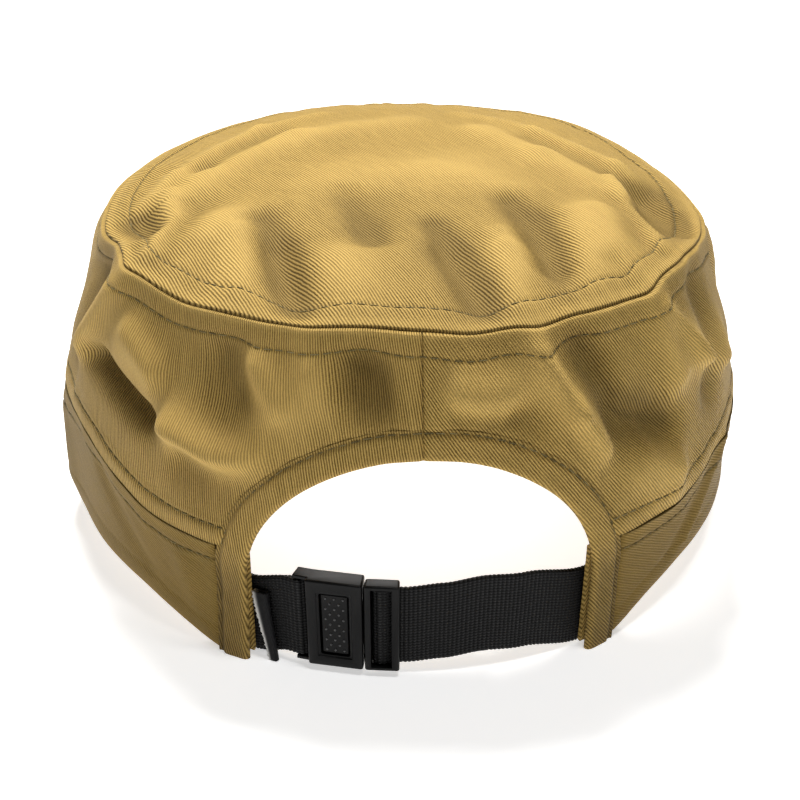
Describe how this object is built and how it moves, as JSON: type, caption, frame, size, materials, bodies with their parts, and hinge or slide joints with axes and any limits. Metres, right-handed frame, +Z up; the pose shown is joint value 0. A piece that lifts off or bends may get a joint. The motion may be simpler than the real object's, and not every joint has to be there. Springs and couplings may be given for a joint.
{
  "type": "military field cap with rear strap",
  "caption": "Soft cotton twill field cap with a round crown, band, peak and rear arch closed by a webbing strap and push-release buckle.",
  "frame": {"origin": "on the surface that the cap stands on, under the middle of its bounding box", "axes": "+Z up through the crown, +Y towards the peak at the front, -Y towards the rear arch and strap, +X to the right as seen from behind"},
  "size_m": [0.1786, 0.2672, 0.0944],
  "materials": {
    "khaki_twill": "matt cotton twill",
    "black_webbing": "ribbed webbing",
    "black_plastic": "satin moulded",
    "label_tape": "woven tape"
  },
  "bodies": {
    "root": {"crown_top": "khaki_twill", "side_panel_left": "khaki_twill", "side_panel_right": "khaki_twill", "band": "khaki_twill", "sweatband": "khaki_twill", "peak": "khaki_twill", "webbing_left": "black_webbing", "webbing_right": "black_webbing", "buckle_socket": "black_plastic", "buckle_tongue": "black_plastic", "label_tag": "label_tape"}
  },
  "joints": []
}
